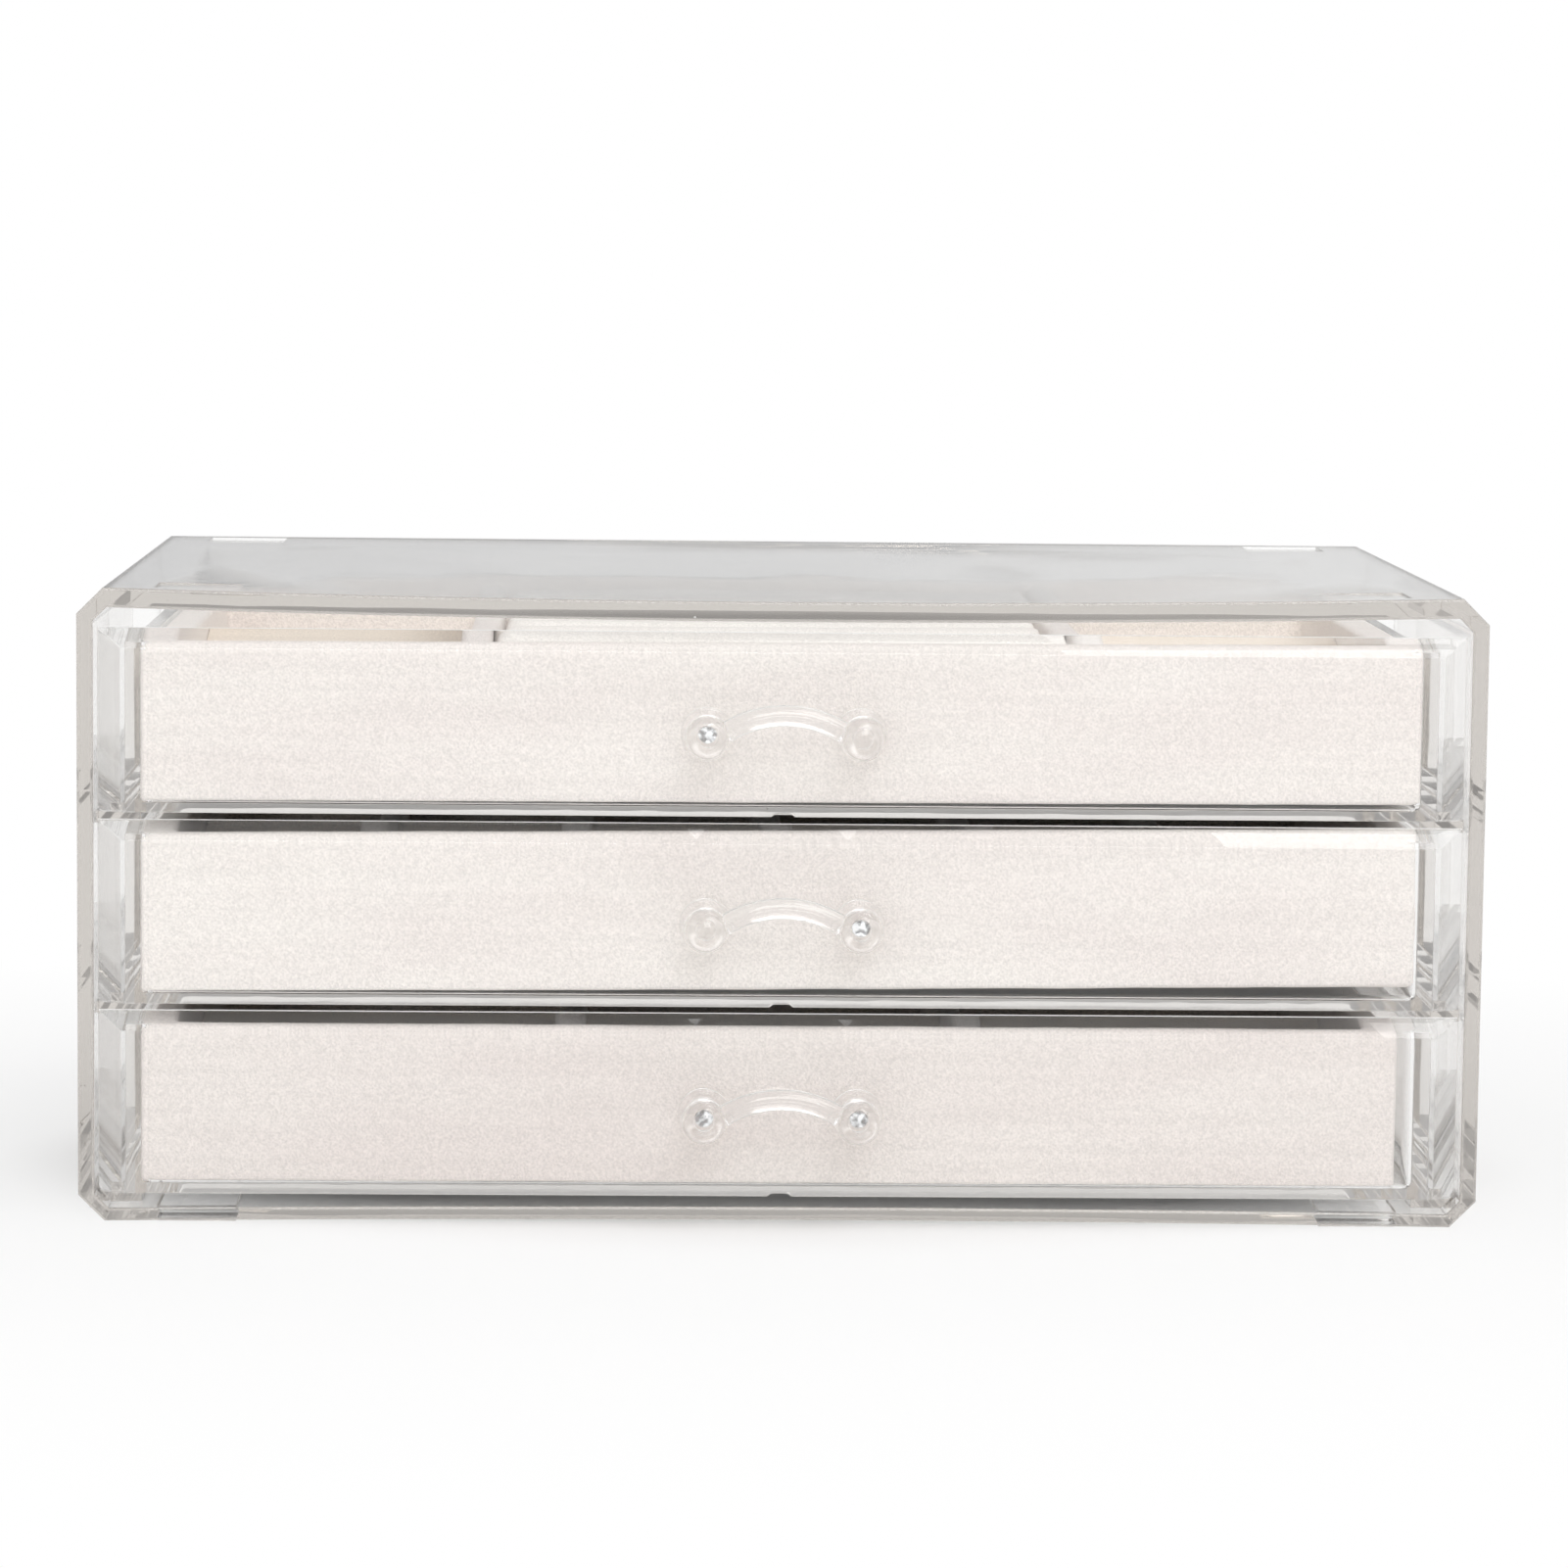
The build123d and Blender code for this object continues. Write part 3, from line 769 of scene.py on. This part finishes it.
def layStage(look):
    half = look["half"]
    mesh = bpy.data.meshes.new("stageFloor")
    corners = [(-half, -half, 0), (half, -half, 0), (half, half, 0), (-half, half, 0)]
    mesh.from_pydata(corners, [], [(0, 1, 2, 3)])
    piece = bpy.data.objects.new("stageFloor", mesh)
    bpy.context.scene.collection.objects.link(piece)
    material, tree = newMaterial("paleFloor")
    coords = tree.nodes.new("ShaderNodeTexCoord")
    mottle = addNoise(tree, coords, "Object", look["mottleScale"], 2.0)
    colour = addRamp(tree, mottle, "Fac", (look["dim"], look["pale"]))
    matte = addNode(tree, "ShaderNodeBsdfDiffuse")
    wire(tree, colour, "Color", matte, "Color")
    white = addNode(tree, "ShaderNodeEmission", Color=(1, 1, 1, 1), Strength=1.0)
    seen = addSeen(tree)
    # the white share grows away from the object, so its shadow stays round and under it
    wide = addNode(tree, "ShaderNodeMapping", Scale=look["squeeze"])
    wire(tree, coords, "Object", wide, "Vector")
    reach = addMeasure(tree, wide, "Vector")
    fade = addRamp(tree, reach, "Value", [(place, (share,) * 3) for place, share in look["whiteShares"]])
    share = addMath(tree, "MULTIPLY", seen.outputs[0], fade.outputs["Color"])
    mixed = mixShaders(tree, share, matte, white)
    out = tree.nodes.new("ShaderNodeOutputMaterial")
    wire(tree, mixed, 0, out, "Surface")
    mesh.materials.append(material)


layStage(floorLook)

room = {
    "light": (0.52, 0.52, 0.52, 1),
    "white": (1, 1, 1, 1),
    "behindLeft": (0.55, 0.55, 0.555),
    "behindRight": (0.70, 0.70, 0.70),
    "sideReach": 0.13,
    "ahead": (0.70, 0.71, 0.725),
    "whiteUpTo": 0.038,
    "upperFrom": 0.060,
    "dimmer": ((0.088, 1.0), (0.108, 0.70), (0.130, 0.76), (0.170, 1.0)),
    "turnFrom": 0.35,
    "turnTo": -0.35,
}


def lightRoom(look):
    world = bpy.data.worlds.new("studio")
    bpy.context.scene.world = world
    world.use_nodes = True
    tree = world.node_tree
    tree.nodes.clear()
    coords = tree.nodes.new("ShaderNodeTexCoord")
    split = tree.nodes.new("ShaderNodeSeparateXYZ")
    wire(tree, coords, "Generated", split, "Vector")
    rise = addRange(tree, split, "Z", look["whiteUpTo"], look["upperFrom"], 0.0, 1.0)
    turn = addRange(tree, split, "Y", look["turnFrom"], look["turnTo"], 0.0, 1.0)
    sideways = addRange(tree, split, "X", -look["sideReach"], look["sideReach"], 0.0, 1.0)
    behind = addRamp(tree, sideways, "Result", ((0.0, look["behindLeft"]), (1.0, look["behindRight"])))
    upper = tree.nodes.new("ShaderNodeMix")
    upper.data_type = "RGBA"
    upper.inputs[7].default_value = (*look["ahead"], 1)
    tree.links.new(turn.outputs["Result"], upper.inputs[0])
    # a soft dim band over the horizon behind
    dimmed = tree.nodes.new("ShaderNodeMix")
    dimmed.data_type, dimmed.blend_type = "RGBA", "MULTIPLY"
    dimmed.inputs[0].default_value = 1.0
    band = addRamp(tree, split, "Z", [(place, (share,) * 3) for place, share in look["dimmer"]])
    tree.links.new(behind.outputs["Color"], dimmed.inputs[6])
    tree.links.new(band.outputs["Color"], dimmed.inputs[7])
    tree.links.new(dimmed.outputs[2], upper.inputs[6])
    tone = tree.nodes.new("ShaderNodeMix")
    tone.data_type = "RGBA"
    tone.inputs[6].default_value = look["white"]
    tree.links.new(rise.outputs["Result"], tone.inputs[0])
    tree.links.new(upper.outputs[2], tone.inputs[7])
    seenSide = addNode(tree, "ShaderNodeBackground", Strength=1.0)
    tree.links.new(tone.outputs[2], seenSide.inputs["Color"])
    lightSide = addNode(tree, "ShaderNodeBackground", Color=look["light"], Strength=1.0)
    mixed = mixShaders(tree, addSeen(tree), lightSide, seenSide)
    out = tree.nodes.new("ShaderNodeOutputWorld")
    wire(tree, mixed, 0, out, "Surface")


lightRoom(room)

lamps = {
    "keyLamp": {"at": (0.463, -0.546, 1.316), "size": (0.75, 0.75), "power": 6.2, "roll": 12.9},
    "fillLamp": {"at": (-1.0, -1.25, 0.65), "size": (0.9, 0.9), "power": 3.0, "roll": 0},
    "backLamp": {"at": (0.25, 1.25, 0.85), "size": (1.8, 1.2), "power": 2.5, "roll": 0},
    "frontLamp": {"at": (0.1, -1.1, 0.85), "size": (0.7, 0.6), "power": 5.6, "roll": 0},
}
lampTarget = Vector((0, 0, 0.055))
for name, look in lamps.items():
    lamp = bpy.data.lights.new(name, "AREA")
    lamp.shape = "RECTANGLE"
    lamp.size, lamp.size_y = look["size"]
    lamp.energy = look["power"]
    holder = bpy.data.objects.new(name, lamp)
    holder.location = look["at"]
    aim = (lampTarget - Vector(look["at"])).to_track_quat("-Z", "Y")
    holder.rotation_euler = (aim @ Quaternion((0, 0, 1), math.radians(look["roll"]))).to_euler()
    bpy.context.scene.collection.objects.link(holder)
print("stage and lamps set")


# camera where the picture was taken from
cameraLook = {
    "at": (-0.026779, -0.954778, 0.172737),
    "yaw": 0.0300,
    "pitch": 0.1089,
    "roll": 0.0108,
    "lens": 123.7,
    "sensor": 36.0,
    "clip": (0.01, 60.0),
}


def setCamera(look):
    yaw, pitch, roll = look["yaw"], look["pitch"], look["roll"]
    ahead = Vector((math.sin(yaw) * math.cos(pitch), math.cos(yaw) * math.cos(pitch), -math.sin(pitch)))
    right = Vector((math.cos(yaw), -math.sin(yaw), 0))
    up = right.cross(ahead)
    tiltedRight = math.cos(roll) * right + math.sin(roll) * up
    tiltedUp = -math.sin(roll) * right + math.cos(roll) * up
    data = bpy.data.cameras.new("camera")
    data.lens, data.sensor_width = look["lens"], look["sensor"]
    data.clip_start, data.clip_end = look["clip"]
    camera = bpy.data.objects.new("camera", data)
    axes = Matrix((tiltedRight, tiltedUp, -ahead)).transposed()
    camera.matrix_world = Matrix.Translation(look["at"]) @ axes.to_4x4()
    bpy.context.scene.collection.objects.link(camera)
    bpy.context.scene.camera = camera


setCamera(cameraLook)
scene = bpy.context.scene
scene.view_settings.view_transform = "Standard"
# light passes many clear faces before it reaches the velvet
scene.cycles.max_bounces = 160
scene.cycles.glossy_bounces = 150
scene.cycles.transmission_bounces = 150
scene.cycles.transparent_max_bounces = 48
print("camera set")
